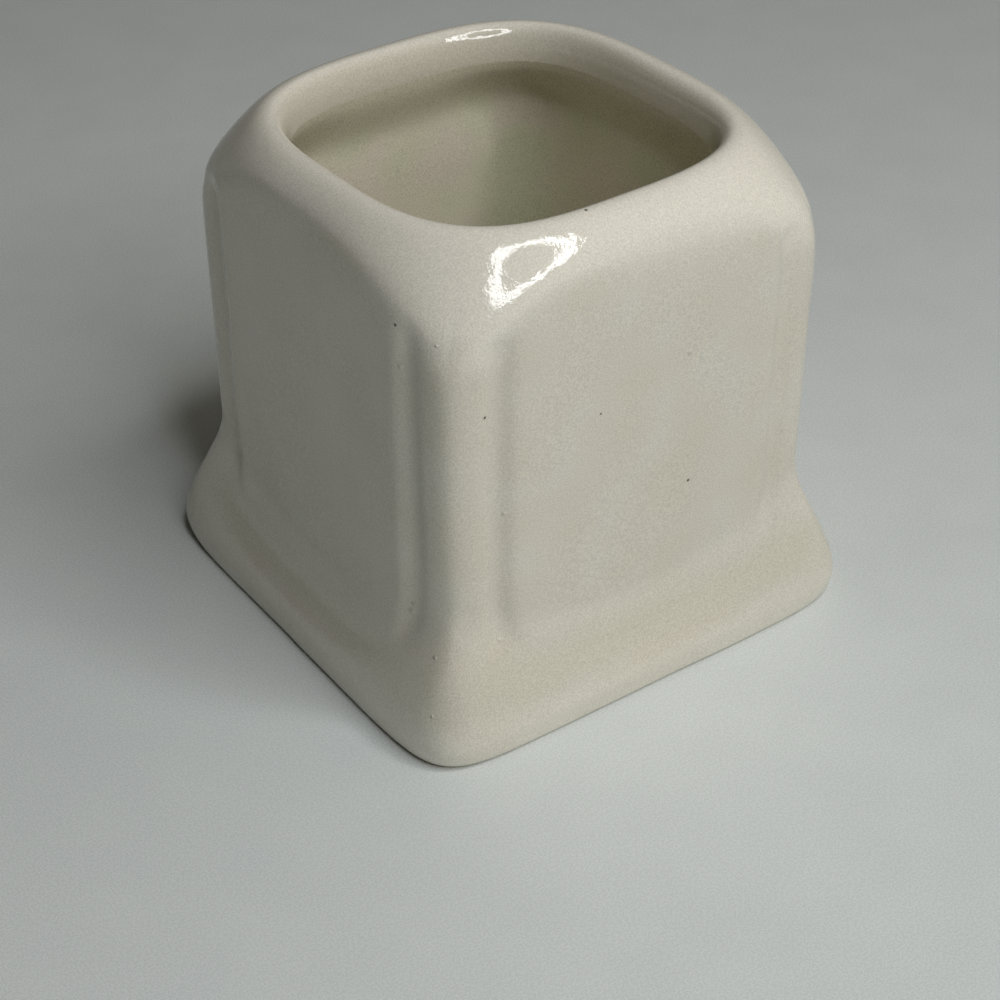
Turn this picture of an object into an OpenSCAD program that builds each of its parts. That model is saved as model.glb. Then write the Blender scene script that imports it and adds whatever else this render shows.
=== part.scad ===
// Square toothpick holder: a slip-cast earthenware pot with raised arched panels and a coat of glaze.
// Millimetres. The origin is the middle of the underside, +Z is up, and the four faces look along X and Y.
// The pot is lofted from level outlines. Each outline is a soft square with two sizes: its half-width at
// the middle of a face, and its reach along the diagonal, which a corner radius sets. The outside blends
// two such stacks: upright walls, and a domed shoulder that spreads from the lip. Each face carries a panel
// that stands a little proud between the corner posts. The dome cuts it off in an arch at its top, and the
// flare runs into it along an upturned curve at its foot.

/* [Overall] */
// Height from the table to the crest of the lip
height = 49; // [44:0.2:64]
// Width over the toe, where the pot is widest
toe_w = 50; // [47:0.5:58]
// Width over two opposite faces, beside their panels, just above the flared foot
waist_w = 42.2; // [39:0.2:45]
// Width over two opposite faces, beside their panels, at the foot of the shoulder
face_top_w = 42.6; // [39:0.2:45]

/* [Toe and flare] */
// Height of the widest line of the toe
toe_h = 2.2; // [1.6:0.1:4]
// Corner radius of the toe
toe_corner_r = 5.5; // [2.5:0.1:8]
// How far the underside's edge lies in from the toe at the middle of a face
toe_roll = 0.4; // [0.3:0.1:1.6]
// Corner radius of the underside's edge
foot_corner_r = 7.3; // [4:0.1:9]
// Height where the flare meets the middle of a panel
face_flare_h = 9.5; // [8:0.1:15]
// Height where the flare meets a corner post
post_flare_h = 16; // [12:0.1:20]
// Where the steepest part of the flare lies: 1 is half way up, less is lower
flare_bias = 0.88; // [0.7:0.01:1.1]

/* [Panels and posts] */
// Corner radius of a post
post_r = 3.4; // [2.6:0.1:5]
// How far a panel stands proud of its face
panel_depth = 0.5; // [0.1:0.05:0.9]
// From the edge line of a face in to the edge of its panel
panel_in = 4.3; // [3.6:0.1:6]
// Width of the slope beside a panel
panel_slope_w = 3.1; // [1.5:0.1:4]
// From the top of the flare down to the foot of the panel, which fades into the flare
panel_foot_drop = 3.9; // [2:0.1:5]
// Height over which the foot of the panel fades
panel_fade = 3; // [1.5:0.1:5]

/* [Shoulder and mouth] */
// Clear width of the mouth
mouth_w = 33.6; // [26:0.2:35]
// From the mouth's edge out to the crest of the lip
lip_in = 1.8; // [1:0.1:3]
// From the crest of the lip down to the narrowest line of the mouth
lip_drop = 3.4; // [2:0.1:5]
// Corner radius of the crest's outline
crest_corner_r = 12.7; // [8:0.1:16]
// Radius of the rounding over the crest
crest_r = 1.8; // [1:0.1:3]
// Slope of the shoulder under the crest at the middle of a face, in degrees from level
face_shoulder_slope = 72; // [50:1:80]
// Slope of the shoulder under the crest at a corner, in degrees from level
post_shoulder_slope = 51; // [44:1:66]
// Width of the blend between the shoulder and the arched top of a panel
arch_blend = 1.9; // [0.8:0.1:4]
// Width of the blend between the shoulder and the top of a post
post_blend = 5.1; // [2:0.1:7]

/* [Walls and glaze] */
// Thickness of a wall with its glaze
wall = 3.1; // [2.4:0.1:4]
// Thickness of the floor with its glaze, above the underside's recess
floor_t = 3.2; // [2.4:0.1:5]
// Thickness of the glaze
glaze_t = 0.3; // [0.2:0.05:0.5]
// Corner radius of the inside
inner_corner_r = 5.5; // [4:0.1:9]
// Radius between the inside walls and the floor
floor_fillet = 3; // [1.5:0.1:5]
// Height below the lip over which the mouth widens to the inside
undercut_h = 6.5; // [4:0.1:9]

/* [Dry foot] */
// Height of the edge of the outside glaze
glaze_line = 0.4; // [0.3:0.05:1.2]
// Width of the ring that the pot stands on
foot_ring_w = 5; // [3:0.1:8]
// Depth of the recess inside that ring
foot_recess = 0.8; // [0.4:0.1:1.5]

/* [Hidden] */

// Steps of the loft
FLAT_STEPS = 4;
POST_STEPS = 3;
ROLL_STEPS = 2;
FLARE_STEPS = 7;
SHOULDER_STEPS = 9;
LIP_STEPS = 3;
INSIDE_STEPS = 5;
FILLET_STEPS = 3;

ROOT2 = sqrt(2);

// Half-widths of the named outlines at the middle of a face, and their reaches along the diagonal
toe_half = toe_w / 2;
foot_half = toe_half - toe_roll;
waist_half = waist_w / 2;
face_top_half = face_top_w / 2;
mouth_half = mouth_w / 2;
crest_half = mouth_half + lip_in;
toe_reach = reach(toe_half, toe_corner_r);
foot_reach = reach(foot_half, foot_corner_r);
waist_reach = reach(waist_half, post_r);
face_top_reach = reach(face_top_half, post_r);
crest_reach = reach(crest_half, crest_corner_r);
mouth_reach = crest_reach - lip_in;

// Heights of the main lines
lip_foot_h = height - lip_drop;
floor_h = foot_recess + floor_t;
inside_foot_h = floor_h + floor_fillet;
inside_h = lip_foot_h - inside_foot_h;

// Distances from the middle of a face to both sides of the slope beside its panel
slope_end = waist_half - panel_in;
slope_start = slope_end - panel_slope_w;

// How fast the top of the flare rises away from the middle of a face
flare_curve = (post_flare_h - face_flare_h) / pow(waist_half, 2);

// Reach along the diagonal of a square with rounded corners
function reach(half, corner_r) = ROOT2 * half - (ROOT2 - 1) * corner_r;
function clamp01(u) = max(0, min(1, u));
function ease(u) = u * u * (3 - 2 * u);
function reversed(list) = [for (i = [len(list) - 1 : -1 : 0]) list[i]];
function part_of(list, first, last) = [for (i = [first : last]) list[i]];

// Share of the flare's spread that is left at a height, for a flare that ends at a given height
function flare_share(z, top) =
    (1 + cos(180 * pow(clamp01((z - toe_h) / (top - toe_h)), flare_bias))) / 2;

// An upright wall's profile: roll under the toe, flare, face
function wall_profile(z, foot, toe, waist, top) =
    z < toe_h ? foot + (toe - foot) * sqrt(1 - pow(1 - z / toe_h, 2))
    : waist + (toe - waist) * flare_share(z, post_flare_h)
        + (top - waist) * clamp01((z - post_flare_h) / (lip_foot_h - post_flare_h));
function wall_half(z) = wall_profile(z, foot_half, toe_half, waist_half, face_top_half);
function wall_reach(z) = wall_profile(z, foot_reach, toe_reach, waist_reach, face_top_reach);

// How far a face stands proud of its plain wall, at a distance from its middle: the panel, over a flare
// that ends lower than it does at the posts
function flare_top_at(s) = min(post_flare_h, face_flare_h + flare_curve * pow(s, 2));
function panel_share(z, s) =
    (1 - ease(clamp01((s - slope_start) / panel_slope_w)))
    * ease(clamp01((z - flare_top_at(s) + panel_foot_drop) / panel_fade));
function proud(z, s) =
    panel_depth * panel_share(z, s)
    + (toe_half - waist_half) * (flare_share(z, flare_top_at(s)) - flare_share(z, post_flare_h));

// How far the shoulder has spread from the crest, some way below it: round at first, then a straight slope
function spread(below, slope) = sqrt(2 * crest_r * below + pow(below / tan(slope), 2));

// Distance below the crest at which the shoulder has run into the top of a post
post_gap = face_top_reach + post_blend - crest_reach;
lean = pow(tan(90 - post_shoulder_slope), 2);
shoulder_drop = (sqrt(pow(crest_r, 2) + lean * pow(post_gap, 2)) - crest_r) / lean;

// The inside follows the outside at one wall's thickness, and draws in to the mouth under the lip
function under_lip(z) = ease(clamp01((lip_foot_h - z) / undercut_h));
function room_half(z) = wall_half(z) + proud(z, 0) - wall;
function inside_half(z) = mouth_half + (room_half(z) - mouth_half) * under_lip(z);
function inside_reach(z) = mouth_reach + (reach(room_half(z), inner_corner_r) - mouth_reach) * under_lip(z);

// Polar angles of an outline's points, from the middle of a face to the middle of a post
start_a = atan2(slope_start, waist_half);
mid_slope_a = atan2((slope_start + slope_end) / 2, waist_half);
end_a = atan2(slope_end, waist_half);
half_face = concat(
    [for (k = [0 : FLAT_STEPS - 1]) start_a * k / FLAT_STEPS],
    [start_a, mid_slope_a, end_a],
    [for (k = [1 : POST_STEPS]) end_a + (45 - end_a) * k / POST_STEPS]);
HALF = len(half_face) - 1;
quarter = concat(half_face, [for (k = [HALF - 1 : -1 : 1]) 90 - half_face[k]]);

// Distance from the axis to a soft square, at a polar angle
function square_r(half, diagonal, a) =
    let (n = ln(2) / ln(ROOT2 * half / diagonal))
    half / pow(pow(abs(cos(a)), n) + pow(abs(sin(a)), n), 1 / n);

// Distance from the axis to the outside, at an angle from the nearer face's middle: the walls with their
// panels, cut by the shoulder with a blend that widens to the post
function blend_w(b) = arch_blend + (post_blend - arch_blend) * pow(sin(b) * ROOT2, 4);
function soft_min(p, q, width) = min(p, q) - pow(max(width - abs(p - q), 0) / width, 3) * width / 6;
function upright_r(z, b) =
    let (plain = square_r(wall_half(z), wall_reach(z), b))
    plain + proud(z, plain * sin(b)) / cos(b);
function outside_r(z, b) =
    let (below = height - z)
    below > shoulder_drop ? upright_r(z, b)
    : let (half = crest_half + spread(below, face_shoulder_slope))
    let (diagonal = crest_reach + spread(below, post_shoulder_slope))
    soft_min(upright_r(z, b), square_r(half, diagonal, b), blend_w(b));

// Whole outlines of the outside and of a soft square
function outside_point(z, a) = outside_r(z, min(a, 90 - a)) * [cos(a), sin(a)];
function turned(p, q, z) =
    [p[0] * cos(90 * q) - p[1] * sin(90 * q), p[0] * sin(90 * q) + p[1] * cos(90 * q), z];
function outside_outline(z) = [for (q = [0 : 3], a = quarter) turned(outside_point(z, a), q, z)];
function plain_outline(z, half, diagonal) = [
    for (q = [0 : 3], a = quarter)
    turned(square_r(half, diagonal, a) * [cos(a), sin(a)], q, z)];

// Heights of the outside outlines, from the edge of the glaze to the crest of the lip
shoulder_foot_h = height - shoulder_drop;
outside_z = concat(
    [for (k = [0 : ROLL_STEPS - 1]) glaze_line + (toe_h - glaze_line) * k / ROLL_STEPS],
    [for (k = [0 : FLARE_STEPS]) toe_h + (post_flare_h - toe_h) * k / FLARE_STEPS],
    [(post_flare_h + shoulder_foot_h) / 2],
    [for (k = [0 : SHOULDER_STEPS]) shoulder_foot_h + shoulder_drop * sin(90 * k / SHOULDER_STEPS)]);

// Outlines of the whole glazed surface: up the outside, over the lip, down the inside to the floor
function lip_outline(t) = plain_outline(
    height - lip_drop * (1 - cos(t)), crest_half - lip_in * sin(t), crest_reach - lip_in * sin(t));
function inside_outline(z) = plain_outline(z, inside_half(z), inside_reach(z));
function fillet_outline(t) = plain_outline(
    inside_foot_h - floor_fillet * sin(t),
    inside_half(inside_foot_h) - floor_fillet * (1 - cos(t)),
    inside_reach(inside_foot_h) - floor_fillet * (1 - cos(t)));
glazed = concat(
    [for (z = outside_z) outside_outline(z)],
    [for (k = [1 : LIP_STEPS]) lip_outline(90 * k / LIP_STEPS)],
    [for (k = [1 : INSIDE_STEPS]) inside_outline(lip_foot_h - inside_h * k / INSIDE_STEPS)],
    [for (k = [1 : FILLET_STEPS]) fillet_outline(90 * k / FILLET_STEPS)]);
LAST = len(glazed) - 1;
SEAM = len(outside_z) + LIP_STEPS - 1;
POINTS = len(quarter) * 4;

// The clay under the glazed surface, at the glaze's thickness
function unit(v) = v / norm(v);
function normal(i, j) =
    i == LAST ? [0, 0, 1]
    : unit(cross(
        glazed[i][(j + 1) % POINTS] - glazed[i][(j + POINTS - 1) % POINTS],
        glazed[i + 1][j] - glazed[max(i - 1, 0)][j]));
clay = [for (i = [0 : LAST]) [for (j = [0 : POINTS - 1]) glazed[i][j] - glaze_t * normal(i, j)]];

// The dry foot: recess, standing ring, and the bare edge below the glaze
bare_half = foot_half - glaze_t;
bare_reach = foot_reach - glaze_t;
recess_half = bare_half - foot_ring_w;
recess_reach = bare_reach - foot_ring_w;
bare_edge_z = glaze_line / 3;
dry_foot = [
    plain_outline(foot_recess, recess_half - foot_recess, recess_reach - foot_recess),
    plain_outline(0, recess_half, recess_reach),
    plain_outline(0, bare_half, bare_reach),
    plain_outline(bare_edge_z, wall_half(bare_edge_z) - glaze_t, wall_reach(bare_edge_z) - glaze_t)];

// Skin over a stack of outlines, closed by flat caps or joined end to end. Each four-sided patch is split
// along its shorter diagonal, so two skins on the same outlines meet exactly.
module skin(outlines, joined = false) {
    count = len(outlines);
    points = [for (o = outlines) for (p = o) p];
    patches = [
        for (i = [0 : joined ? count - 1 : count - 2], j = [0 : POINTS - 1])
        let (i1 = (i + 1) % count, j1 = (j + 1) % POINTS)
        let (a = i * POINTS + j, b = i1 * POINTS + j, c = i1 * POINTS + j1, d = i * POINTS + j1)
        each norm(points[a] - points[c]) < norm(points[b] - points[d])
            ? [[a, b, c], [a, c, d]]
            : [[a, b, d], [b, c, d]]];
    first_centre = [0, 0, outlines[0][0][2]];
    last_centre = [0, 0, outlines[count - 1][0][2]];
    last_row = (count - 1) * POINTS;
    caps = [
        for (j = [0 : POINTS - 1])
        let (j1 = (j + 1) % POINTS)
        each [[j, j1, len(points)], [last_row + j1, last_row + j, len(points) + 1]]];
    polyhedron(
        joined ? points : concat(points, [first_centre, last_centre]),
        joined ? patches : concat(patches, caps));
}

// Slip-cast shell: walls, posts, shoulder, floor and dry foot
module clay_body() {
    color("#d8cbb4") skin(concat(dry_foot, clay));
}

// Glass coat from just above the dry foot, up the outside and over the lip
module outside_glaze() {
    color("#e6e1d0")
        skin(concat(part_of(glazed, 0, SEAM), reversed(part_of(clay, 0, SEAM))), joined = true);
}

// Glass coat on the inside walls and floor, meeting the outside coat at the lip's inner edge
module inside_glaze() {
    color("#ddd7c3")
        skin(concat(reversed(part_of(clay, SEAM, LAST)), part_of(glazed, SEAM, LAST)));
}

clay_body();
outside_glaze();
inside_glaze();
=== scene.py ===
"""Toothpick holder: a slip-cast earthenware pot in cream glaze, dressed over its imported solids.

The pot is one fired body, so nothing moves. Three pieces are made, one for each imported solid: the clay
shell, the glaze on its outside and the glaze on its inside. All three come out of one loft, so they share
its rule and its small faults: a mouth that sits a little turned, and faces that aren't quite true.
Sizes are in millimetres and are turned to metres at the last step of the loft.
"""

import math
from collections import namedtuple

import bpy
import numpy as np
from mathutils import Matrix, Vector


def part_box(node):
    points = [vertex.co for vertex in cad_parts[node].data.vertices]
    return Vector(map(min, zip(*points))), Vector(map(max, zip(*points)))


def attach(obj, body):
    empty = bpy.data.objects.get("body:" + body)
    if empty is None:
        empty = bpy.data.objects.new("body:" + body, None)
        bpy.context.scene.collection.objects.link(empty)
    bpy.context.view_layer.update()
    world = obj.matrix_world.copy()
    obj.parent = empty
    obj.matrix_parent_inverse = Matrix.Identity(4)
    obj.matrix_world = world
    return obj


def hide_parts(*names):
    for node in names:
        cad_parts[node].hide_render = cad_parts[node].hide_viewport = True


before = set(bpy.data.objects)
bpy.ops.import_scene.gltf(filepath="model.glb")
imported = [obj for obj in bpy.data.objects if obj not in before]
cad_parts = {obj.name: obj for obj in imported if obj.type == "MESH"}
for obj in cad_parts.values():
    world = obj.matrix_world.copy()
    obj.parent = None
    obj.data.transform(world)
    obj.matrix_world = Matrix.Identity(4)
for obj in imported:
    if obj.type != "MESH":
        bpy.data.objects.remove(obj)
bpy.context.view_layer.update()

MM = 0.001
ROOT2 = math.sqrt(2)

# ---- Driving sizes, from the frame ----

coat_low, coat_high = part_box("outside_glaze")
TOE_W = (coat_high.x - coat_low.x) / MM
HEIGHT = coat_high.z / MM
GLAZE_LINE = coat_low.z / MM

# ---- The pot's own sizes, in millimetres ----

# Walls, flared foot and corner posts
WAIST_W, FACE_TOP_W = 42.2, 42.6
TOE_H, TOE_ROLL = 2.2, 0.4
TOE_CORNER_R, FOOT_CORNER_R, POST_R = 5.5, 7.3, 3.4
FACE_FLARE_H, POST_FLARE_H, FLARE_BIAS = 10.5, 16.0, 0.88

# Raised panels, and the valley between a panel and its post
PANEL_DEPTH, PANEL_IN = 0.5, 4.3
PANEL_FOOT_DROP, PANEL_FADE = 5.4, 3.6
VALLEY_IN, VALLEY_DIP = 0.5, 0.24
VALLEY_SLOPE_W, VALLEY_BANK_W = 2.9, 1.7
VALLEY_TOP_H, VALLEY_FADE = 44.2, 3.2

# Shoulder and lip, with the slopes in degrees
MOUTH_W, LIP_IN, LIP_DROP = 33.6, 1.8, 3.4
CREST_CORNER_R, CREST_R = 12.7, 1.8
FACE_SHOULDER_SLOPE, POST_SHOULDER_SLOPE = 72.0, 51.0
ARCH_BLEND, POST_BLEND, BLEND_POWER = 1.3, 5.1, 4.0

# Inside, coat and dry foot
WALL, FLOOR_T, GLAZE_T = 3.1, 3.2, 0.3
INNER_CORNER_R, FLOOR_FILLET, UNDERCUT_H = 5.5, 3.0, 6.5
FOOT_RING_W, FOOT_RECESS = 5.0, 0.8

# Small faults: the mouth's turn, shift and tilt, the heights above which they set in, and the untrue faces
MOUTH_TURN, MOUTH_SHIFT, MOUTH_TILT = math.radians(1.5), (0.15, 0.8, 0), (-0.008, -0.015, 0)
OUTSIDE_SWAY_H, INSIDE_SWAY_H, SWAY_POWER = 40.0, 34.0, 1.5
WOBBLE, WOBBLE_PITCH = 0.5, 22.0

TOE, WAIST, FACE_TOP = TOE_W / 2, WAIST_W / 2, FACE_TOP_W / 2
FOOT = TOE - TOE_ROLL
MOUTH = MOUTH_W / 2
CREST = MOUTH + LIP_IN
LIP_FOOT_H = HEIGHT - LIP_DROP
FLOOR_H = FOOT_RECESS + FLOOR_T
INSIDE_FOOT_H = FLOOR_H + FLOOR_FILLET
VALLEY = WAIST - PANEL_IN - VALLEY_IN
FLARE_CURVE = (POST_FLARE_H - FACE_FLARE_H) / WAIST ** 2


# ---- Profiles of the loft: each gives a half-width over a face and a reach over a corner ----

# How far the shoulder stays clear of the wall below its foot, and the mark of a level without a shoulder
CLEAR = np.array([10.0, 14.0])
NO_DOME = np.array([99.0, 120.0])


def pair(half, corner_r):
    """Half-width of a soft square and its reach along the diagonal, from its corner radius."""
    return np.array([half, ROOT2 * half - (ROOT2 - 1) * corner_r])


def ease(u):
    """Goes smoothly from 0 to 1 as u does, and stays there."""
    u = np.clip(u, 0, 1)
    return u * u * (3 - 2 * u)


def flare_share(z, top):
    """Share of the flare's spread that is left at a height, for a flare that ends at a given height."""
    up = np.clip((z - TOE_H) / (top - TOE_H), 0, 1)
    return (1 + np.cos(np.pi * up ** FLARE_BIAS)) / 2


def wall_pair(z):
    """Upright wall without its raised panels: roll under the toe, flare, face."""
    toe, waist, top = pair(TOE, TOE_CORNER_R), pair(WAIST, POST_R), pair(FACE_TOP, POST_R)
    foot = pair(FOOT, FOOT_CORNER_R)
    flare = waist + (toe - waist) * flare_share(z, POST_FLARE_H)
    face = (top - waist) * np.clip((z - POST_FLARE_H) / (LIP_FOOT_H - POST_FLARE_H), 0, 1)
    under = max(1 - z / TOE_H, 0)
    return flare + face - (toe - foot) * (1 - math.sqrt(1 - under ** 2))


def panel_half(z):
    """Half-width over two opposite panels at the middle of a face."""
    flare = (TOE - WAIST) * (flare_share(z, FACE_FLARE_H) - flare_share(z, POST_FLARE_H))
    panel = PANEL_DEPTH * ease((z - FACE_FLARE_H + PANEL_FOOT_DROP) / PANEL_FADE)
    return wall_pair(z)[0] + flare + panel


# The shoulder has run into the top of a post this far below the crest
POST_LEAN = math.tan(math.radians(90 - POST_SHOULDER_SLOPE)) ** 2
POST_GAP = pair(FACE_TOP, POST_R)[1] + POST_BLEND - pair(CREST, CREST_CORNER_R)[1]
SHOULDER_DROP = (math.sqrt(CREST_R ** 2 + POST_LEAN * POST_GAP ** 2) - CREST_R) / POST_LEAN


def dome_pair(z):
    """Shoulder: round over the crest, then a straight slope to the walls, and clear of them below that."""
    below = max(HEIGHT - z, 0)
    if below > SHOULDER_DROP:
        return wall_pair(z) + CLEAR
    slopes = np.radians([FACE_SHOULDER_SLOPE, POST_SHOULDER_SLOPE])
    return pair(CREST, CREST_CORNER_R) + np.sqrt(2 * CREST_R * below + (below / np.tan(slopes)) ** 2)


def inside_pair(z):
    """Inside of the wall, which draws in to the mouth under the lip."""
    mouth = pair(CREST, CREST_CORNER_R) - LIP_IN
    room = pair(panel_half(z) - WALL, INNER_CORNER_R)
    return mouth + (room - mouth) * ease((LIP_FOOT_H - z) / UNDERCUT_H)


def sway(z):
    """How far a height shares in the mouth's turn, shift and tilt: none in the panels, all at the crest."""
    return min(max((z - OUTSIDE_SWAY_H) / (HEIGHT - OUTSIDE_SWAY_H), 0), 1) ** SWAY_POWER


# ---- Levels of the loft ----

# Half-width of the ring that closes a cap: the loft merges it to a point
CAP_TIP = 1e-4

Level = namedtuple("Level", "height wall dome sway")


def plain_level(z, wall, sway_share=0.0):
    """A level without a shoulder: on the lip, the inside or the underside."""
    return Level(z, wall, NO_DOME, sway_share)


def outside_levels(heights):
    """Outside of the pot: the walls, and the shoulder that cuts them."""
    return [Level(z, wall_pair(z), dome_pair(z), sway(z)) for z in heights]


def lip_levels(steps):
    """The lip rolls over in a quarter of an ellipse, from the crest down to the mouth."""
    crest = pair(CREST, CREST_CORNER_R)
    turns = [math.pi / 2 * (k + 1) / steps for k in range(steps)]
    return [
        plain_level(HEIGHT - LIP_DROP * (1 - math.cos(turn)), crest - LIP_IN * math.sin(turn), 1.0)
        for turn in turns]


def inside_levels(wall_steps, fillet_steps, floor_steps):
    """Inside of the pot: down the wall, round the fillet and across the floor to its middle."""
    heights = [LIP_FOOT_H + (INSIDE_FOOT_H - LIP_FOOT_H) * (k + 1) / wall_steps for k in range(wall_steps)]
    levels = [
        plain_level(z, inside_pair(z), float(ease((z - INSIDE_SWAY_H) / (LIP_FOOT_H - INSIDE_SWAY_H))))
        for z in heights]
    foot = inside_pair(INSIDE_FOOT_H)
    for k in range(fillet_steps):
        turn = math.pi / 2 * (k + 1) / fillet_steps
        inset = FLOOR_FILLET * (1 - math.cos(turn))
        levels.append(plain_level(INSIDE_FOOT_H - FLOOR_FILLET * math.sin(turn), foot - inset))
    rim = foot - FLOOR_FILLET
    levels += [
        plain_level(FLOOR_H, rim * (1 - (k + 1) / floor_steps) + CAP_TIP) for k in range(floor_steps)]
    return levels


def dry_foot_levels():
    """Underside from the middle out: recess, standing ring, and the bare edge below the glaze.

    The levels lie a coat's thickness outside the clay, below it here, because the shell is inset by that.
    The ring's edges are inset at a slant, so they start a little higher to end on the table.
    """
    steps, slant = 6, 0.06
    ring = pair(FOOT, FOOT_CORNER_R)
    recess = ring - FOOT_RING_W
    roof = recess - FOOT_RECESS
    roof_h, ring_h = FOOT_RECESS - GLAZE_T, slant - GLAZE_T
    levels = [plain_level(roof_h, roof * k / steps + CAP_TIP) for k in range(steps)]
    return levels + [plain_level(roof_h, roof), plain_level(ring_h, recess), plain_level(ring_h, ring)]


def outside_heights(toe_steps, flare_steps, panel_steps, shoulder_steps):
    """Heights from the edge of the glaze to the crest, closest over the toe and under the crest."""
    shoulder_h = HEIGHT - SHOULDER_DROP
    flare_top = POST_FLARE_H + 1
    toe = [GLAZE_LINE + (TOE_H - GLAZE_LINE) * k / toe_steps for k in range(toe_steps)]
    flare = [TOE_H + (flare_top - TOE_H) * k / flare_steps for k in range(flare_steps)]
    panel = [flare_top + (shoulder_h - flare_top) * k / panel_steps for k in range(panel_steps)]
    rise = [math.sin(math.pi / 2 * k / shoulder_steps) for k in range(shoulder_steps + 1)]
    return toe + flare + panel + [shoulder_h + (HEIGHT - shoulder_h) * r for r in rise]


# ---- Nodes ----

MATH, VECTOR, RANGE = "ShaderNodeMath", "ShaderNodeVectorMath", "ShaderNodeMapRange"
NOISE, VORONOI, MIX, BUMP = "ShaderNodeTexNoise", "ShaderNodeTexVoronoi", "ShaderNodeMix", "ShaderNodeBump"
SEPARATE, COMBINE, GROUP = "ShaderNodeSeparateXYZ", "ShaderNodeCombineXYZ", "GeometryNodeGroup"
POSITION, SMOOTH_SHADE = "GeometryNodeSetPosition", "GeometryNodeSetShadeSmooth"

# Settings of a range that eases at both ends, and those of a mix of colours with its sockets
EASED = {"interpolation_type": "SMOOTHSTEP"}
OF_COLOURS = {"out": 2, "data_type": "RGBA"}
FACTOR, UNDER, OVER = 0, 6, 7


def add(tree, kind, inputs=None, out=0, **settings):
    """Adds a node with its settings and links. Gives one of its outputs, or the node where out is None."""
    node = tree.nodes.new(kind)
    for name, value in settings.items():
        setattr(node, name, value)
    for key, value in (inputs or {}).items():
        if isinstance(value, bpy.types.NodeSocket):
            tree.links.new(value, node.inputs[key])
        else:
            node.inputs[key].default_value = value
    return node if out is None or not node.outputs else node.outputs[out]


def new_tree(name, inputs, outputs):
    """A node group with named inputs and outputs, each given as (name, socket type, starting value)."""
    tree = bpy.data.node_groups.new(name, "GeometryNodeTree")
    for direction, sockets in (("INPUT", inputs), ("OUTPUT", outputs)):
        for label, kind, value in sockets:
            socket = tree.interface.new_socket(label, in_out=direction, socket_type="NodeSocket" + kind)
            if value is not None:
                socket.default_value = value
    return tree


def soft_square_tree():
    """Distance from the axis to a soft square of a given half-width and diagonal reach, at an angle."""
    tree = new_tree(
        "soft_square",
        [("Size", "Vector", None), ("Cosine", "Float", 1.0), ("Sine", "Float", 0.0)],
        [("Radius", "Float", None)])
    given = add(tree, "NodeGroupInput", out=None).outputs
    size = add(tree, SEPARATE, {0: given["Size"]}, out=None).outputs
    ratio = add(tree, MATH, {0: size["X"], 1: size["Y"]}, operation="DIVIDE")
    ratio = add(tree, MATH, {0: ratio, 1: ROOT2}, operation="MULTIPLY")
    power = add(tree, MATH, {0: 2.0, 1: ratio}, operation="LOGARITHM")
    across = add(tree, MATH, {0: given["Cosine"]}, operation="ABSOLUTE")
    along = add(tree, MATH, {0: given["Sine"]}, operation="ABSOLUTE")
    across = add(tree, MATH, {0: across, 1: power}, operation="POWER")
    along = add(tree, MATH, {0: along, 1: power}, operation="POWER")
    total = add(tree, MATH, {0: across, 1: along}, operation="ADD")
    root = add(tree, MATH, {0: 1.0, 1: power}, operation="DIVIDE")
    total = add(tree, MATH, {0: total, 1: root}, operation="POWER")
    radius = add(tree, MATH, {0: size["X"], 1: total}, operation="DIVIDE")
    add(tree, "NodeGroupOutput", {0: radius})
    return tree


def flare_share_tree():
    """Share of the flare's spread that is left at a height, for a flare of a given height."""
    tree = new_tree(
        "flare_share",
        [("Height", "Float", None), ("Flare Top", "Float", POST_FLARE_H),
         ("Toe Height", "Float", TOE_H), ("Bias", "Float", FLARE_BIAS)],
        [("Share", "Float", None)])
    given = add(tree, "NodeGroupInput", out=None).outputs
    up = add(tree, RANGE, {
        "Value": given["Height"], "From Min": given["Toe Height"], "From Max": given["Flare Top"]})
    up = add(tree, MATH, {0: up, 1: given["Bias"]}, operation="POWER")
    swing = add(tree, MATH, {0: up, 1: math.pi}, operation="MULTIPLY")
    swing = add(tree, MATH, {0: swing}, operation="COSINE")
    share = add(tree, MATH, {0: swing, 1: 0.5, 2: 0.5}, operation="MULTIPLY_ADD")
    add(tree, "NodeGroupOutput", {0: share})
    return tree


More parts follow.
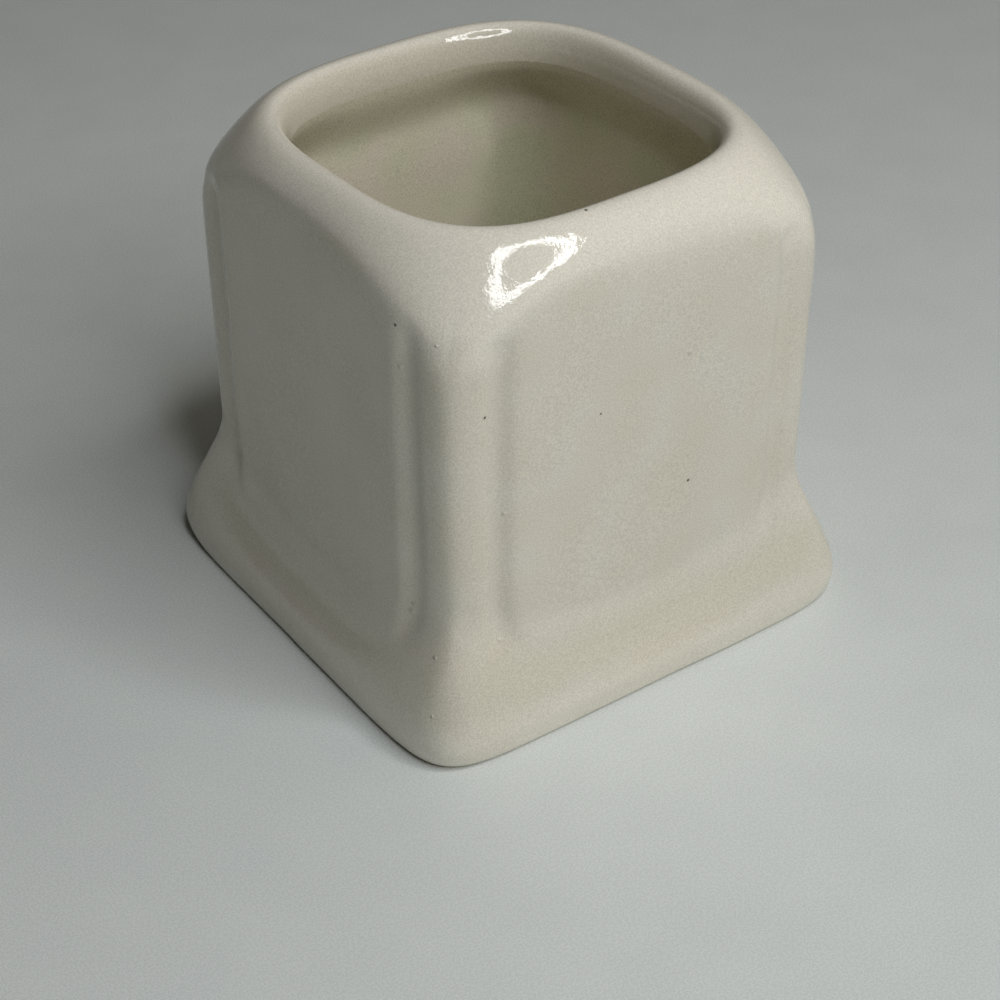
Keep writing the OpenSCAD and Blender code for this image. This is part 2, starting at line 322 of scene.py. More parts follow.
def panel_tree(flare_share):
    """How far a point of a face stands proud of the plain wall: a raised panel, and a flare with a lower top.

    Beside each post the panel slopes down into a shallow valley, with a small bank up to the post. The
    valley runs out just under the shoulder. At its foot the panel ends in an upturned curve, low at the
    middle of the face and high at the posts, and the flare's own top follows the same curve.
    """
    tree = new_tree(
        "panel",
        [("Beside", "Float", None), ("Height", "Float", None), ("Depth", "Float", PANEL_DEPTH),
         ("Slope Start", "Float", VALLEY - VALLEY_SLOPE_W), ("Valley", "Float", VALLEY),
         ("Valley Dip", "Float", VALLEY_DIP), ("Bank End", "Float", VALLEY + VALLEY_BANK_W),
         ("Valley Top", "Float", VALLEY_TOP_H), ("Valley Fade", "Float", VALLEY_FADE),
         ("Foot Low", "Float", FACE_FLARE_H - PANEL_FOOT_DROP), ("Foot Curve", "Float", FLARE_CURVE),
         ("Foot Fade", "Float", PANEL_FADE), ("Flare Low", "Float", FACE_FLARE_H),
         ("Flare Top", "Float", POST_FLARE_H), ("Flare Spread", "Float", TOE - WAIST)],
        [("Proud", "Float", None)])
    given = add(tree, "NodeGroupInput", out=None).outputs

    # Across the face: down the slope into the valley, up its bank, and no valley under the shoulder
    fall = add(tree, MATH, {0: given["Depth"], 1: given["Valley Dip"]}, operation="ADD")
    slope = add(tree, RANGE, {
        "Value": given["Beside"], "From Min": given["Slope Start"], "From Max": given["Valley"],
        "To Min": 0.0, "To Max": fall}, **EASED)
    bank = add(tree, RANGE, {
        "Value": given["Beside"], "From Min": given["Valley"], "From Max": given["Bank End"],
        "To Min": 0.0, "To Max": given["Valley Dip"]}, **EASED)
    valley = add(tree, MATH, {0: slope, 1: bank}, operation="SUBTRACT")
    fade = add(tree, MATH, {0: given["Valley Top"], 1: given["Valley Fade"]}, operation="SUBTRACT")
    fade = add(tree, RANGE, {
        "Value": given["Height"], "From Min": given["Valley Top"], "From Max": fade}, **EASED)
    valley = add(tree, MATH, {0: valley, 1: fade}, operation="MULTIPLY")
    across = add(tree, MATH, {0: given["Depth"], 1: valley}, operation="SUBTRACT")

    # Up the face: the panel rises from its curved foot
    curve = add(tree, MATH, {0: given["Beside"], 1: given["Beside"]}, operation="MULTIPLY")
    curve = add(tree, MATH, {0: curve, 1: given["Foot Curve"]}, operation="MULTIPLY")
    foot = add(tree, MATH, {0: curve, 1: given["Foot Low"]}, operation="ADD")
    over = add(tree, MATH, {0: foot, 1: given["Foot Fade"]}, operation="ADD")
    rise = add(tree, RANGE, {"Value": given["Height"], "From Min": foot, "From Max": over}, **EASED)
    panel = add(tree, MATH, {0: across, 1: rise}, operation="MULTIPLY")

    # The flare spreads less here than at a post, since its top is lower
    top = add(tree, MATH, {0: curve, 1: given["Flare Low"]}, operation="ADD")
    top = add(tree, MATH, {0: top, 1: given["Flare Top"]}, operation="MINIMUM")
    here, plain = (
        add(tree, GROUP, {"Height": given["Height"], "Flare Top": height}, node_tree=flare_share)
        for height in (top, given["Flare Top"]))
    flare = add(tree, MATH, {0: here, 1: plain}, operation="SUBTRACT")
    proud = add(tree, MATH, {0: flare, 1: given["Flare Spread"], 2: panel}, operation="MULTIPLY_ADD")
    add(tree, "NodeGroupOutput", {0: proud})
    return tree


LOFT_SIZES = [
    ("Around", "Int", 288), ("Levels", "Int", 2), ("Corner Crowding", "Float", 0.6),
    ("Arch Blend", "Float", ARCH_BLEND), ("Post Blend", "Float", POST_BLEND),
    ("Mouth Turn", "Float", MOUTH_TURN), ("Mouth Shift", "Vector", MOUTH_SHIFT),
    ("Mouth Tilt", "Vector", MOUTH_TILT), ("Wobble", "Float", WOBBLE),
    ("Wobble Pitch", "Float", WOBBLE_PITCH), ("Inset", "Float", 0.0), ("Finish", "Material", None)]

# What each level of the loft carries: its attribute's type and the field that holds it
LEVEL_FIELDS = {
    "height": ("FLOAT", "value"), "wall": ("FLOAT_VECTOR", "vector"),
    "dome": ("FLOAT_VECTOR", "vector"), "sway": ("FLOAT", "value")}

# Points of the loft closer than this are merged, which closes its seam and its caps
MERGE_GAP = 0.002


def loft_tree(soft_square, panel):
    """Lofts the levels of the incoming line into a skin, with its panels and the pot's small faults."""
    tree = new_tree(
        "pot_loft", [("Geometry", "Geometry", None)] + LOFT_SIZES, [("Geometry", "Geometry", None)])
    given = add(tree, "NodeGroupInput", out=None).outputs

    # A flat grid, one row for each level, whose place says which level and how far round
    columns = add(tree, MATH, {0: given["Around"], 1: 1.0}, operation="ADD")
    grid = add(tree, "GeometryNodeMeshGrid", {
        "Size X": 1.0, "Size Y": 1.0, "Vertices X": given["Levels"], "Vertices Y": columns})
    place = add(tree, "GeometryNodeInputPosition")
    place = add(tree, VECTOR, {0: place, 1: (0.5, 0.5, 0)}, operation="ADD")
    place = add(tree, SEPARATE, {0: place}, out=None).outputs
    last = add(tree, MATH, {0: given["Levels"], 1: 1.0}, operation="SUBTRACT")
    level = add(tree, MATH, {0: place["X"], 1: last}, operation="MULTIPLY")
    level = add(tree, MATH, {0: level}, operation="ROUND")

    # Columns crowd together at the corners, where the steps and posts are
    quarters = add(tree, MATH, {0: place["Y"], 1: 4.0}, operation="MULTIPLY")
    swing = add(tree, MATH, {0: quarters, 1: math.tau}, operation="MULTIPLY")
    swing = add(tree, MATH, {0: swing}, operation="SINE")
    swing = add(tree, MATH, {0: swing, 1: given["Corner Crowding"]}, operation="MULTIPLY")
    quarters = add(tree, MATH, {0: swing, 1: 1 / math.tau, 2: quarters}, operation="MULTIPLY_ADD")
    angle = add(tree, MATH, {0: quarters, 1: math.pi / 2}, operation="MULTIPLY")
    cosine = add(tree, MATH, {0: angle}, operation="COSINE")
    sine = add(tree, MATH, {0: angle}, operation="SINE")

    # What each level says
    said = {}
    for label, (kind, _) in LEVEL_FIELDS.items():
        value = add(tree, "GeometryNodeInputNamedAttribute", {"Name": label}, data_type=kind)
        said[label] = add(tree, "GeometryNodeSampleIndex", {
            "Geometry": given["Geometry"], "Value": value, "Index": level}, data_type=kind)

    # The wall and the shoulder at this angle, and how near it is to a corner: 0 mid-face, 1 over a post
    wall, dome = (
        add(tree, GROUP, {"Size": said[label], "Cosine": cosine, "Sine": sine}, node_tree=soft_square)
        for label in ("wall", "dome"))
    x_share = add(tree, MATH, {0: cosine}, operation="ABSOLUTE")
    y_share = add(tree, MATH, {0: sine}, operation="ABSOLUTE")
    less = add(tree, MATH, {0: x_share, 1: y_share}, operation="MINIMUM")
    more = add(tree, MATH, {0: x_share, 1: y_share}, operation="MAXIMUM")
    corner = add(tree, MATH, {0: less, 1: ROOT2}, operation="MULTIPLY")
    corner = add(tree, MATH, {0: corner, 1: BLEND_POWER}, operation="POWER")

    # Panels stand out on the outside only: a level with no dome has none
    beside = add(tree, MATH, {0: wall, 1: less}, operation="MULTIPLY")
    proud = add(tree, GROUP, {"Beside": beside, "Height": said["height"]}, node_tree=panel)
    proud = add(tree, MATH, {0: proud, 1: more}, operation="DIVIDE")
    outside = add(tree, VECTOR, {0: said["dome"], 1: said["dome"]}, out="Value", operation="DOT_PRODUCT")
    outside = add(tree, MATH, {0: outside, 1: NO_DOME[0] ** 2}, operation="LESS_THAN")
    upright = add(tree, MATH, {0: proud, 1: outside, 2: wall}, operation="MULTIPLY_ADD")

    # The shoulder cuts the walls, with a blend that widens towards the posts
    blend = add(tree, RANGE, {
        "Value": corner, "To Min": given["Arch Blend"], "To Max": given["Post Blend"]})
    radius = add(tree, MATH, {0: upright, 1: dome, 2: blend}, operation="SMOOTH_MIN")
    point = add(tree, COMBINE, {"X": cosine, "Y": sine})
    point = add(tree, VECTOR, {0: point, "Scale": radius}, operation="SCALE")
    lift = add(tree, COMBINE, {"Z": said["height"]})
    point = add(tree, VECTOR, {0: point, 1: lift}, operation="ADD")

    # The mouth's turn, shift and tilt
    turn = add(tree, MATH, {0: given["Mouth Turn"], 1: said["sway"]}, operation="MULTIPLY")
    point = add(tree, "ShaderNodeVectorRotate", {"Vector": point, "Axis": (0, 0, 1), "Angle": turn})
    shift = add(tree, VECTOR, {0: given["Mouth Shift"], "Scale": said["sway"]}, operation="SCALE")
    point = add(tree, VECTOR, {0: point, 1: shift}, operation="ADD")
    tilt = add(tree, VECTOR, {0: point, 1: given["Mouth Tilt"]}, out="Value", operation="DOT_PRODUCT")
    tilt = add(tree, MATH, {0: tilt, 1: said["sway"]}, operation="MULTIPLY")
    tilt = add(tree, COMBINE, {"Z": tilt})
    point = add(tree, VECTOR, {0: point, 1: tilt}, operation="ADD")

    # Faces that aren't quite true, sideways only
    pitch = add(tree, MATH, {0: 1.0, 1: given["Wobble Pitch"]}, operation="DIVIDE")
    waves = add(tree, NOISE, {"Vector": point, "Scale": pitch, "Detail": 1.0}, out="Color")
    waves = add(tree, VECTOR, {0: waves, 1: (0.5, 0.5, 0.5)}, operation="SUBTRACT")
    reach = add(tree, COMBINE, {"X": given["Wobble"], "Y": given["Wobble"]})
    point = add(tree, VECTOR, {0: waves, 1: reach, 2: point}, operation="MULTIPLY_ADD")

    # The grid takes its shape, faces out, and is set in by a coat's thickness where the piece is the clay
    skin = add(tree, POSITION, {"Geometry": grid, "Position": point})
    skin = add(tree, "GeometryNodeFlipFaces", {"Mesh": skin})
    skin = add(tree, "GeometryNodeMergeByDistance", {"Geometry": skin, "Distance": MERGE_GAP})
    depth = add(tree, MATH, {0: given["Inset"], 1: -1.0}, operation="MULTIPLY")
    normal = add(tree, "GeometryNodeInputNormal")
    inset = add(tree, VECTOR, {0: normal, "Scale": depth}, operation="SCALE")
    skin = add(tree, POSITION, {"Geometry": skin, "Offset": inset})
    skin = add(tree, "GeometryNodeTransform", {"Geometry": skin, "Scale": (MM, MM, MM)})

    # Smooth all over, with a sharp edge round an open border
    skin = add(tree, SMOOTH_SHADE, {"Geometry": skin})
    faces = add(tree, "GeometryNodeInputMeshEdgeNeighbors")
    border = add(tree, "FunctionNodeCompare", {2: faces, 3: 2}, data_type="INT", operation="LESS_THAN")
    skin = add(tree, SMOOTH_SHADE, {
        "Geometry": skin, "Selection": border, "Shade Smooth": False}, domain="EDGE")
    skin = add(tree, "GeometryNodeRealizeInstances", {"Geometry": skin})
    skin = add(tree, "GeometryNodeSetMaterial", {"Geometry": skin, "Material": given["Finish"]})
    add(tree, "NodeGroupOutput", {0: skin})
    return tree


def put_in_scene(name, data):
    """An object in the scene that shows a mesh or holds a camera."""
    piece = bpy.data.objects.new(name, data)
    bpy.context.scene.collection.objects.link(piece)
    return piece


def level_line(name, levels):
    """A line of points, one for each level, that carries what the loft asks of it."""
    mesh = bpy.data.meshes.new(name)
    mesh.from_pydata(
        [(0, 0, level.height) for level in levels], [(k, k + 1) for k in range(len(levels) - 1)], [])
    for label, (kind, field) in LEVEL_FIELDS.items():
        values = [getattr(level, label) for level in levels]
        if field == "vector":
            values = [(*value, 0) for value in values]
        attribute = mesh.attributes.new(label, kind, "POINT")
        attribute.data.foreach_set(field, np.array(values, np.float32).ravel())
    return put_in_scene(name, mesh)


def loft(name, levels, tree, material, **sizes):
    """Runs the loft over a stack of levels and gives its result as a plain mesh object."""
    line = level_line(name + "_levels", levels)
    modifier = line.modifiers.new("loft", "NODES")
    modifier.node_group = tree
    wanted = {"Levels": len(levels), "Finish": material}
    wanted.update({label.replace("_", " "): value for label, value in sizes.items()})
    for item in tree.interface.items_tree:
        if item.in_out == "INPUT" and item.name in wanted:
            modifier[item.identifier] = wanted[item.name]
    graph = bpy.context.evaluated_depsgraph_get()
    mesh = bpy.data.meshes.new_from_object(line.evaluated_get(graph))
    line.modifiers.clear()
    bpy.data.objects.remove(line)
    mesh.name = name
    return put_in_scene(name, mesh)


# ---- Finishes, with sizes in millimetres ----

def linear(colour):
    """sRGB hex to the linear colour that Blender works in."""
    channels = [int(colour[k:k + 2], 16) / 255 for k in (1, 3, 5)]
    return tuple(c / 12.92 if c <= 0.04045 else ((c + 0.055) / 1.055) ** 2.4 for c in channels) + (1.0,)


def new_material(name):
    """An empty node material, and its tree."""
    material = bpy.data.materials.new(name)
    material.use_nodes = True
    tree = material.node_tree
    tree.nodes.clear()
    return material, tree


def in_mm(tree):
    """Place on the piece, in millimetres."""
    place = add(tree, "ShaderNodeTexCoord", out="Object")
    return add(tree, VECTOR, {0: place, "Scale": 1 / MM}, operation="SCALE")


def grain(tree, place, pitch, detail=0.0, low=0.35, high=0.65):
    """Noise of a given pitch, spread over 0 to 1."""
    waves = add(tree, NOISE, {"Vector": place, "Scale": 1 / pitch, "Detail": detail})
    return add(tree, RANGE, {"Value": waves, "From Min": low, "From Max": high})


def dots(tree, place, pitch, radius, share):
    """Scattered round dots: 1 in the middle of a dot, 0 outside. Only a share of the cells holds one."""
    cells = add(tree, VORONOI, {"Vector": place, "Scale": 1 / pitch}, out=None)
    dome = add(tree, RANGE, {
        "Value": cells.outputs["Distance"], "From Min": radius / pitch, "From Max": 0.0}, **EASED)
    chosen = add(tree, SEPARATE, {0: cells.outputs["Color"]})
    chosen = add(tree, MATH, {0: chosen, 1: share}, operation="LESS_THAN")
    return add(tree, MATH, {0: dome, 1: chosen}, operation="MULTIPLY")


def near(tree, place, centre, radius, height=1.0):
    """One round dot at a given place: its height in the middle, 0 outside its radius."""
    away = add(tree, VECTOR, {0: place, 1: centre}, out="Value", operation="DISTANCE")
    return add(tree, RANGE, {"Value": away, "From Min": radius, "From Max": 0.0, "To Max": height}, **EASED)


def speckled(tree, body, grains, low, high):
    """A colour that fine grains make a little darker and lighter, by factors from low to high."""
    shade = add(tree, RANGE, {"Value": grains, "To Min": low, "To Max": high})
    shade = add(tree, COMBINE, {"X": shade, "Y": shade, "Z": shade})
    return add(tree, MIX, {FACTOR: 1.0, UNDER: body, OVER: shade}, blend_type="MULTIPLY", **OF_COLOURS)


# Painted light: the glaze is painted whiter over the shoulder and the toe, where they catch the light, and
# the shoulder's lower edge paints the crease where it meets the panels. Each pair of heights, or of reaches
# from the axis, says where that starts and where it is full, and the last number says how much of it shows
SHOULDER_H, SHOULDER_REACH, SHOULDER_PAINTED_LIGHT = (38.0, 43.5), (21.65, 21.2), 0.8
TOE_TOP_H, TOE_PAINTED_LIGHT = (4.4, 2.8), 0.3
# Painted shade darkens the hollow of the flare, and the inside floor at the same heights; the glaze is darker
# where it runs thin, from the crest to the mouth
HOLLOW_SHADE_FOOT_H, HOLLOW_SHADE_TOP_H = (4.0, 5.5), (10.0, 7.5)
THIN_REACH = (CREST - 0.3, MOUTH + 0.4)
# The mouth is a soft square of this power
MOUTH_POWER = 3.2

# Grain of the glaze: soft patches of colour, and fine grains with the shades they give
DRIFT_PITCH, FINE_PITCH, FINE_SHADES = 7.0, 0.15, (0.9, 1.09)

# Scattered dark specks: how far apart their places are, and the share of the places that holds one
SPECK_PITCH, SPECK_R, SPECK_SHARE, SPECK_STRENGTH = 2.6, 0.17, 0.05, 1.6

# Single flaws that stand up from the glaze: (x, y, z, radius, height)
FLAWS = [
    (4.63, -21.65, 33.85, 0.42, 0.12), (5.1, -21.56, 22.6, 0.3, 0.08), (6.06, -21.7, 9.28, 0.3, 0.1),
    (-21.68, -19.71, 10.3, 0.28, 0.16), (-23.46, -21.71, 5.67, 0.25, 0.15),
    (-20.2, -18.8, 42.16, 0.22, 0.12), (-20.93, -15.14, 12.44, 0.5, 0.14),
    (-20.9, -15.3, 13.3, 0.35, 0.12), (-21.42, -15.0, 38.58, 0.4, 0.12),
    (-15.76, -21.38, 10.65, 0.35, 0.12), (-15.31, -21.83, 9.57, 0.3, 0.1),
    (-15.2, -21.2, 24.4, 0.3, 0.1), (-23.76, -9.38, 5.22, 0.3, 0.1)]

# Single dark specks: their radius and their places
SPOT_R = 0.22
SPOTS = [
    (-17.05, -21.0, 35.07), (-21.5, -14.56, 42.5), (-22.08, 3.81, 7.83), (-4.42, -17.91, 49.3),
    (5.33, -21.55, 19.6)]

# Relief of the glaze: orange peel, pinholes and blisters, which gather low down
PEEL_PITCH, PEEL_H = 0.9, 0.0085
PORE_PITCH, PORE_H = 0.25, 0.0031
BLISTER_PITCH, BLISTER_R, BLISTER_SHARE, BLISTER_H = 1.5, 0.3, 0.35, 0.035
BLISTER_PATCH, BLISTER_FADE_H, BLISTERS_HIGH_UP = 6.0, (16.0, 8.0), 0.08


def glaze_colour(tree, place, fine, slip, patch, thick, pool, thin, speck):
    """Colour of the glaze: it drifts from slip to patch, darkens where it runs thin at the mouth, and has
    painted light over the shoulder and the toe and painted shade in the hollow of the flare.
    """
    aside = add(tree, VECTOR, {0: place}, operation="ABSOLUTE")
    x, y, z = add(tree, SEPARATE, {0: aside}, out=None).outputs
    reach = add(tree, MATH, {0: x, 1: y}, operation="MAXIMUM")
    # Masks of painted light over the shoulder and the toe, and of painted shade in the hollow of the flare
    inward, high, toe_painted_light, above, below = (
        add(tree, RANGE, {"Value": value, "From Min": start, "From Max": end, "To Max": full}, **ease_or_not)
        for value, (start, end), full, ease_or_not in (
            (reach, SHOULDER_REACH, 1.0, EASED), (z, SHOULDER_H, SHOULDER_PAINTED_LIGHT, EASED),
            (z, TOE_TOP_H, TOE_PAINTED_LIGHT, {}), (z, HOLLOW_SHADE_FOOT_H, 1.0, EASED), (z, HOLLOW_SHADE_TOP_H, 1.0, EASED)))
    shoulder_painted_light = add(tree, MATH, {0: inward, 1: high}, operation="MULTIPLY")
    hollow = add(tree, MATH, {0: above, 1: below}, operation="MULTIPLY")

    # Distance from the middle of the mouth, in soft squares
    aside = add(tree, VECTOR, {0: place, 1: MOUTH_SHIFT}, operation="SUBTRACT")
    aside = add(tree, VECTOR, {0: aside}, operation="ABSOLUTE")
    x, y, _ = add(tree, SEPARATE, {0: aside}, out=None).outputs
    x, y = (add(tree, MATH, {0: side, 1: MOUTH_POWER}, operation="POWER") for side in (x, y))
    reach = add(tree, MATH, {0: x, 1: y}, operation="ADD")
    reach = add(tree, MATH, {0: reach, 1: 1 / MOUTH_POWER}, operation="POWER")
    inner_lip = add(tree, RANGE, {
        "Value": reach, "From Min": THIN_REACH[0], "From Max": THIN_REACH[1]}, **EASED)

    drift = grain(tree, place, DRIFT_PITCH, detail=1.0)
    body = linear(slip)
    # Drift, painted light over the shoulder and the toe, painted shade in the flare's hollow, thin glaze at
    # the mouth
    for share, colour in (
            (drift, patch), (shoulder_painted_light, thick), (toe_painted_light, thick), (hollow, pool), (inner_lip, thin)):
        body = add(tree, MIX, {FACTOR: share, UNDER: body, OVER: linear(colour)}, **OF_COLOURS)
    body = speckled(tree, body, fine, *FINE_SHADES)

    specks = dots(tree, place, SPECK_PITCH, SPECK_R, SPECK_SHARE)
    for spot in SPOTS:
        specks = add(tree, MATH, {0: specks, 1: near(tree, place, spot, SPOT_R)}, operation="MAXIMUM")
    specks = add(tree, MATH, {0: specks, 1: SPECK_STRENGTH}, operation="MULTIPLY", use_clamp=True)
    return add(tree, MIX, {FACTOR: specks, UNDER: body, OVER: linear(speck)}, **OF_COLOURS)


def glaze_relief(tree, place, strength):
    """Height of the glaze's peel, pinholes, blisters and single flaws."""
    peel = grain(tree, place, PEEL_PITCH, detail=0.5)
    pores = grain(tree, place, PORE_PITCH, detail=1.0)
    height = add(tree, MATH, {0: peel, 1: PEEL_H * strength}, operation="MULTIPLY")
    height = add(tree, MATH, {0: pores, 1: PORE_H * strength, 2: height}, operation="MULTIPLY_ADD")
    blister = dots(tree, place, BLISTER_PITCH, BLISTER_R, BLISTER_SHARE)
    where = grain(tree, place, BLISTER_PATCH, low=0.5, high=0.6)
    z = add(tree, SEPARATE, {0: place}, out="Z")
    start, end = BLISTER_FADE_H
    low_down = add(tree, RANGE, {
        "Value": z, "From Min": start, "From Max": end, "To Min": BLISTERS_HIGH_UP})
    where = add(tree, MATH, {0: where, 1: low_down}, operation="MULTIPLY")
    blister = add(tree, MATH, {0: blister, 1: where}, operation="MULTIPLY")
    height = add(tree, MATH, {0: blister, 1: BLISTER_H * strength, 2: height}, operation="MULTIPLY_ADD")
    flaws = 0.0
    for *centre, radius, rise in FLAWS:
        flaws = add(tree, MATH, {0: near(tree, place, centre, radius, rise), 1: flaws}, operation="ADD")
    return add(tree, MATH, {0: flaws, 1: height}, operation="ADD")


def glaze(name, roughness, relief, **colours):
    """Clear gloss over cream slip, with a fine grain, stray dark specks, orange peel and small flaws."""
    material, tree = new_material(name)
    place = in_mm(tree)
    fine = grain(tree, place, FINE_PITCH, detail=1.0)
    body = glaze_colour(tree, place, fine, **colours)
    surface = add(tree, BUMP, {"Height": glaze_relief(tree, place, relief), "Distance": MM})
    rough = add(tree, RANGE, {"Value": fine, "To Min": roughness * 0.8, "To Max": roughness * 1.2})
    shader = add(tree, "ShaderNodeBsdfPrincipled", {
        "Base Color": body, "Roughness": rough, "Normal": surface, "IOR": 1.6})
    add(tree, "ShaderNodeOutputMaterial", {"Surface": shader})
    return material


SAND_H = 0.03


def bisque_clay():
    """Dry fired earthenware where the glaze is wiped off: chalky and matt, a little sandy."""
    material, tree = new_material("bisque_clay")
    place = in_mm(tree)
    mottle = grain(tree, place, pitch=5.0, detail=2.0)
    grit = dots(tree, place, pitch=1.1, radius=0.14, share=0.3)
    body = linear("#dbceb8")
    for share, colour in ((mottle, "#cdbda2"), (grit, "#8f7d63")):
        body = add(tree, MIX, {FACTOR: share, UNDER: body, OVER: linear(colour)}, **OF_COLOURS)
    sand = grain(tree, place, pitch=0.3, detail=2.0)
    height = add(tree, MATH, {0: sand, 1: SAND_H}, operation="MULTIPLY")
    surface = add(tree, BUMP, {"Height": height, "Distance": MM})
    shader = add(tree, "ShaderNodeBsdfPrincipled", {
        "Base Color": body, "Roughness": 0.9, "Normal": surface, "IOR": 1.5})
    add(tree, "ShaderNodeOutputMaterial", {"Surface": shader})
    return material


def table_top():
    """Plain pale table, a little rough, with a faint mottle."""
    material, tree = new_material("table_top")
    place = in_mm(tree)
    mottle = grain(tree, place, pitch=9.0, detail=3.0)
    body = add(
        tree, MIX, {FACTOR: mottle, UNDER: linear("#e8eeed"), OVER: linear("#ebf1ef")}, **OF_COLOURS)
    body = speckled(tree, body, grain(tree, place, pitch=0.2), 0.94, 1.06)
    shader = add(tree, "ShaderNodeBsdfPrincipled", {"Base Color": body, "Roughness": 0.6})
    add(tree, "ShaderNodeOutputMaterial", {"Surface": shader})
    return material


# ---- The pot ----

clay = bisque_clay()
# Outside, the shoulder and toe tint is painted light, and the colour of the flare's hollow is painted shade
outside_finish = glaze(
    "cream_glaze", roughness=0.055, relief=1.0, slip="#e6e2d4", patch="#e4decd", thick="#faf6e8",
    pool="#e1ddcc", thin="#dcd7c5", speck="#4d463b")
# Inside, the same tints fall on the top of the wall and, as painted shade, on the floor
inside_finish = glaze(
    "thin_cream_glaze", roughness=0.3, relief=0.7, slip="#e2d8c8", patch="#d6d8bb", thick="#ddd7bf",
    pool="#d8d4bd", thin="#dcd7c0", speck="#6a5f4a")
loft_rule = loft_tree(soft_square_tree(), panel_tree(flare_share_tree()))

# The coats are fine, and the clay that they hide is coarser
outside_rise = outside_heights(toe_steps=8, flare_steps=34, panel_steps=22, shoulder_steps=70)
shell_rise = outside_heights(toe_steps=4, flare_steps=16, panel_steps=8, shoulder_steps=30)
over_lip = lip_levels(24)
outside_stack = outside_levels(outside_rise) + over_lip
inside_stack = over_lip[-1:] + inside_levels(wall_steps=60, fillet_steps=12, floor_steps=12)
shell_stack = (
    dry_foot_levels() + outside_levels(shell_rise) + lip_levels(10)
    + inside_levels(wall_steps=20, fillet_steps=6, floor_steps=6))
outside = loft("outside_coat", outside_stack, loft_rule, outside_finish)
inside = loft("inside_coat", inside_stack, loft_rule, inside_finish)
shell = loft("clay_shell", shell_stack, loft_rule, clay, Around=200, Inset=GLAZE_T)

for coat in (outside, inside):
    skin = coat.modifiers.new("coat_thickness", "SOLIDIFY")
    skin.thickness = GLAZE_T * MM
    skin.offset = -1

for piece, node, slot in (
        (shell, "clay_body", "bisque_clay"), (outside, "outside_glaze", "outside_glaze"),
        (inside, "inside_glaze", "inside_glaze")):
    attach(piece, "root")
    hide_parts(node)


# ---- Table, lights and camera, in metres ----

TABLE_HALF = 1.5

# The lamp hangs this way from the middle of the pot, in front and above
KEY_TOWARDS = Vector((0.065, -0.604, 0.793)).normalized()
POT_MIDDLE = Vector((0, 0, 0.03))
RING_DISTANCE, RING_OUTER, RING_INNER, RING_RADIANCE = 0.36, 0.126, 0.086, 10.0
RING_STEPS = 96

# The room's light, as soft glows: (turn from the front towards +X, rise, sharpness, strength)
GLOWS = [(60, 20, 4, 0.38), (60, 55, 6, 0.12), (180, 45, 4, 0.03)]
ROOM_COLOUR, ROOM_STRENGTH = "#f6eddc", 0.007


def table():
    """Plain square of table top under the pot."""
    half = TABLE_HALF
    mesh = bpy.data.meshes.new("table")
    mesh.from_pydata(
        [(-half, -half, 0), (half, -half, 0), (half, half, 0), (-half, half, 0)], [], [(0, 1, 2, 3)])
    mesh.materials.append(table_top())
    put_in_scene("table", mesh)


def ring_lamp():
    """A lamp in the shape of a flat ring that faces the pot: its image is the ring of light on the lip."""
    turns = [math.tau * k / RING_STEPS for k in range(RING_STEPS)]
    rims = [
        (radius * math.cos(turn), radius * math.sin(turn), 0)
        for radius in (RING_INNER, RING_OUTER) for turn in turns]
    faces = []
    for k in range(RING_STEPS):
        after = (k + 1) % RING_STEPS
        faces.append((k, after, RING_STEPS + after, RING_STEPS + k))
    mesh = bpy.data.meshes.new("ring_lamp")
    mesh.from_pydata(rims, [], faces)
    material, tree = new_material("lamp_light")
    glow = add(tree, "ShaderNodeEmission", {"Color": linear("#fdfdfe"), "Strength": RING_RADIANCE})
    add(tree, "ShaderNodeOutputMaterial", {"Surface": glow})
    mesh.materials.append(material)
    lamp = put_in_scene("ring_lamp", mesh)
    lamp.location = POT_MIDDLE + KEY_TOWARDS * RING_DISTANCE
    lamp.rotation_euler = KEY_TOWARDS.to_track_quat("Z", "Y").to_euler()


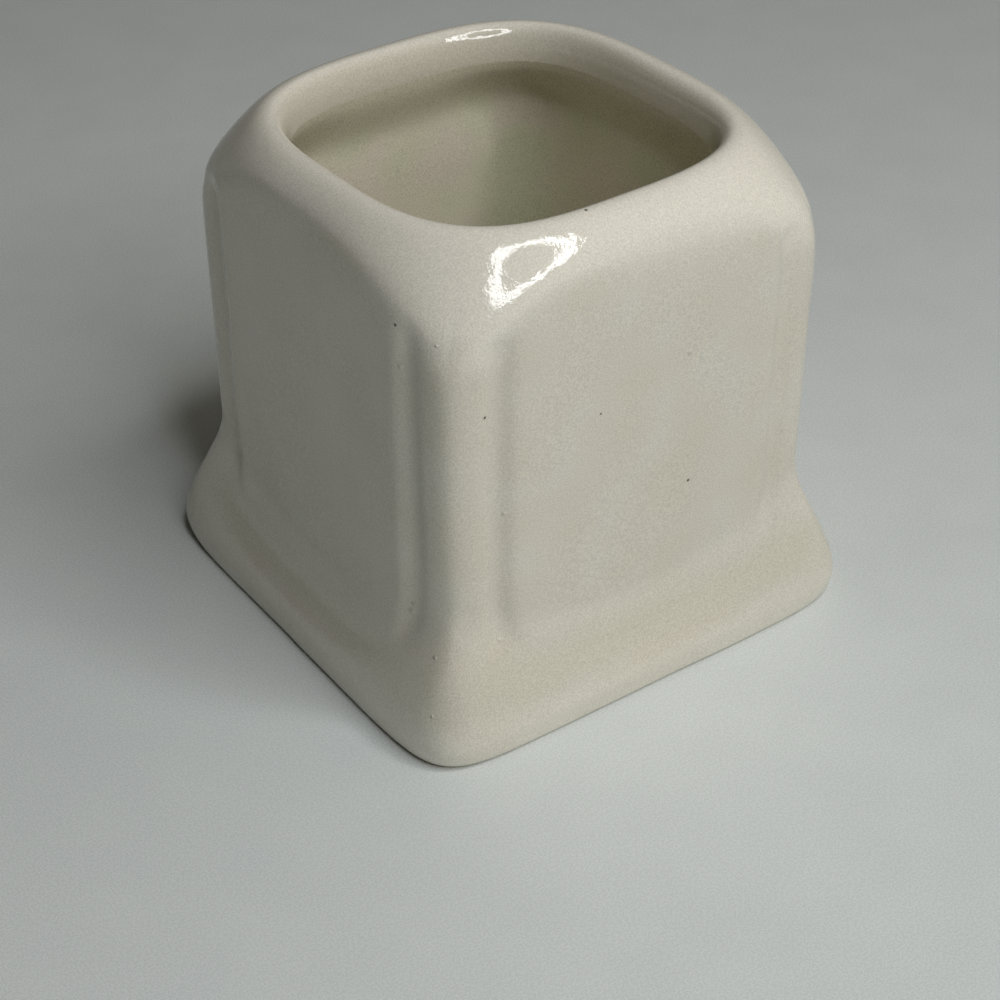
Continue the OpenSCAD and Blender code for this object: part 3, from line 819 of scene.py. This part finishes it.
def room():
    """World light: an even base and a few broad glows, each the power of a cosine."""
    world = bpy.data.worlds.new("room")
    world.use_nodes = True
    tree = world.node_tree
    tree.nodes.clear()
    towards = add(tree, "ShaderNodeTexCoord", out="Generated")
    strength = ROOM_STRENGTH
    for turn, rise, sharpness, level in GLOWS:
        turn, rise = math.radians(turn), math.radians(rise)
        aim = (math.sin(turn) * math.cos(rise), -math.cos(turn) * math.cos(rise), math.sin(rise))
        glow = add(tree, VECTOR, {0: towards, 1: aim}, out="Value", operation="DOT_PRODUCT")
        glow = add(tree, MATH, {0: glow, 1: 0.0}, operation="MAXIMUM")
        glow = add(tree, MATH, {0: glow, 1: sharpness}, operation="POWER")
        strength = add(tree, MATH, {0: glow, 1: level, 2: strength}, operation="MULTIPLY_ADD")
    background = add(tree, "ShaderNodeBackground", {"Color": linear(ROOM_COLOUR), "Strength": strength})
    add(tree, "ShaderNodeOutputWorld", {"Surface": background})
    bpy.context.scene.world = world


table()
ring_lamp()
room()

# The camera stands where the photograph was taken from, worked out from the pot's outlines. Its turn is from
# the front towards +X, its place and sensor are in millimetres, and the rest is in pixels of the picture
CAMERA_TURN, CAMERA_RISE = math.radians(-35.58), math.radians(35.44)
CAMERA_DISTANCE, CAMERA_TARGET = 226.97, Vector((-1.04, -1.53, 11.82))
SENSOR_W = 36.0
FOCAL_PIXELS, PICTURE_PIXELS, MIDDLE_PIXEL = 2311.6, 1000.0, (504.7, 469.8)

back = Vector((
    math.sin(CAMERA_TURN) * math.cos(CAMERA_RISE), -math.cos(CAMERA_TURN) * math.cos(CAMERA_RISE),
    math.sin(CAMERA_RISE)))
right = Vector((math.cos(CAMERA_TURN), math.sin(CAMERA_TURN), 0))
turned = Matrix((right, back.cross(right), back)).transposed()
lens = bpy.data.cameras.new("camera")
lens.sensor_width = SENSOR_W
lens.lens = FOCAL_PIXELS * SENSOR_W / PICTURE_PIXELS
lens.shift_x = (PICTURE_PIXELS / 2 - MIDDLE_PIXEL[0]) / PICTURE_PIXELS
lens.shift_y = (MIDDLE_PIXEL[1] - PICTURE_PIXELS / 2) / PICTURE_PIXELS
lens.clip_start = 0.01
camera = put_in_scene("camera", lens)
camera.matrix_world = Matrix.Translation((CAMERA_TARGET + back * CAMERA_DISTANCE) * MM) @ turned.to_4x4()
bpy.context.scene.camera = camera
bpy.context.scene.view_settings.view_transform = "Standard"
